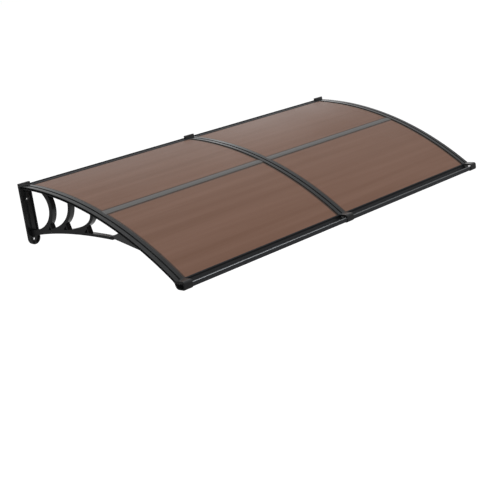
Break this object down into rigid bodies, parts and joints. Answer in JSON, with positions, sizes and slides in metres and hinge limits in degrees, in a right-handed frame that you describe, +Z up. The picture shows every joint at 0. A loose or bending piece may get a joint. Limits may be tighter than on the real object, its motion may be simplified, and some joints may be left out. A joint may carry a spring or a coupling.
{
  "type": "door canopy",
  "caption": "Arched door canopy: moulded black brackets with scrolls, brown hollow sheets, metal bars and a front gutter.",
  "frame": {"origin": "on the back face of the middle bracket's wall plate, at the wall, 150 mm below the top of its arm", "axes": "+X along the wall to the right as seen from the street, +Y into the wall, +Z up; the canopy reaches out towards -Y"},
  "size_m": [2.06, 0.979, 0.3857],
  "materials": {
    "black_plastic": "satin black moulded plastic",
    "brown_sheet": "brown tinted hollow polycarbonate, slightly glossy",
    "dark_bar": "dark grey coated aluminium",
    "grey_bar": "grey coated aluminium",
    "zinc_screw": "zinc plated steel"
  },
  "bodies": {
    "root": {"bracket_left": "black_plastic", "bracket_middle": "black_plastic", "bracket_right": "black_plastic", "sheet_rear_left": "brown_sheet", "sheet_front_left": "brown_sheet", "rear_bar_left": "dark_bar", "joining_bar_left": "grey_bar", "gutter_left": "dark_bar", "screw_rear_bar_left_outer": "zinc_screw", "screw_rear_bar_left_inner": "zinc_screw", "screw_joining_bar_left_outer": "zinc_screw", "screw_joining_bar_left_inner": "zinc_screw", "screw_gutter_left_outer": "zinc_screw", "screw_gutter_left_inner": "zinc_screw", "sheet_rear_right": "brown_sheet", "sheet_front_right": "brown_sheet", "rear_bar_right": "dark_bar", "joining_bar_right": "grey_bar", "gutter_right": "dark_bar", "screw_rear_bar_right_outer": "zinc_screw", "screw_rear_bar_right_inner": "zinc_screw", "screw_joining_bar_right_outer": "zinc_screw", "screw_joining_bar_right_inner": "zinc_screw", "screw_gutter_right_outer": "zinc_screw", "screw_gutter_right_inner": "zinc_screw"}
  },
  "joints": []
}
